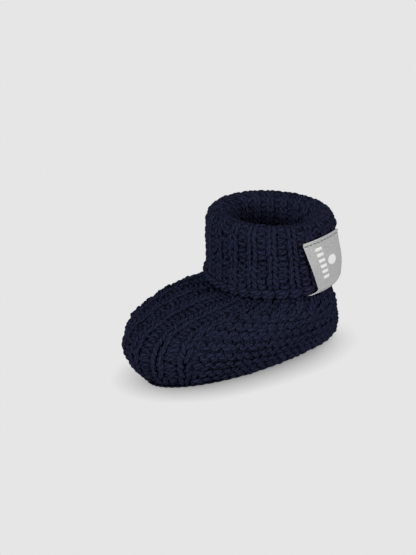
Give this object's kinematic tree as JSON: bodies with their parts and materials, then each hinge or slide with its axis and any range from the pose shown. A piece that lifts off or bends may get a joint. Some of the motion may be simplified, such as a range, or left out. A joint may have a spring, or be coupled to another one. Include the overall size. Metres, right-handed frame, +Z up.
{
  "type": "baby bootie",
  "caption": "Chunky knitted baby bootie: garter-stitch sides and sole, ribbed toe and instep, turned-down ribbed cuff with a small woven label at the hem.",
  "frame": {"origin": "bottom centre of the whole bootie, on the surface that the sole rests on", "axes": "+Z up, +Y towards the heel, -Y towards the toe, +X towards the wearer's left, the outer side with the label"},
  "size_m": [0.0582, 0.0988, 0.0596],
  "materials": {
    "navy_knit": "matte, soft chunky wool-blend knit",
    "seam_yarn": "matte plied yarn",
    "label_tape": "matte woven polyester tape",
    "label_thread": "matte sewing thread"
  },
  "bodies": {
    "root": {"sole_panel": "navy_knit", "sole_seam": "seam_yarn", "toe_instep_panel": "navy_knit", "outer_side_panel": "navy_knit", "inner_side_panel": "navy_knit", "outer_instep_seam": "seam_yarn", "inner_instep_seam": "seam_yarn", "heel_seam": "seam_yarn", "ankle_band": "navy_knit", "rib_cuff": "navy_knit", "hem_bind_off": "navy_knit", "woven_label": "label_tape", "label_stitching": "label_thread"}
  },
  "joints": []
}
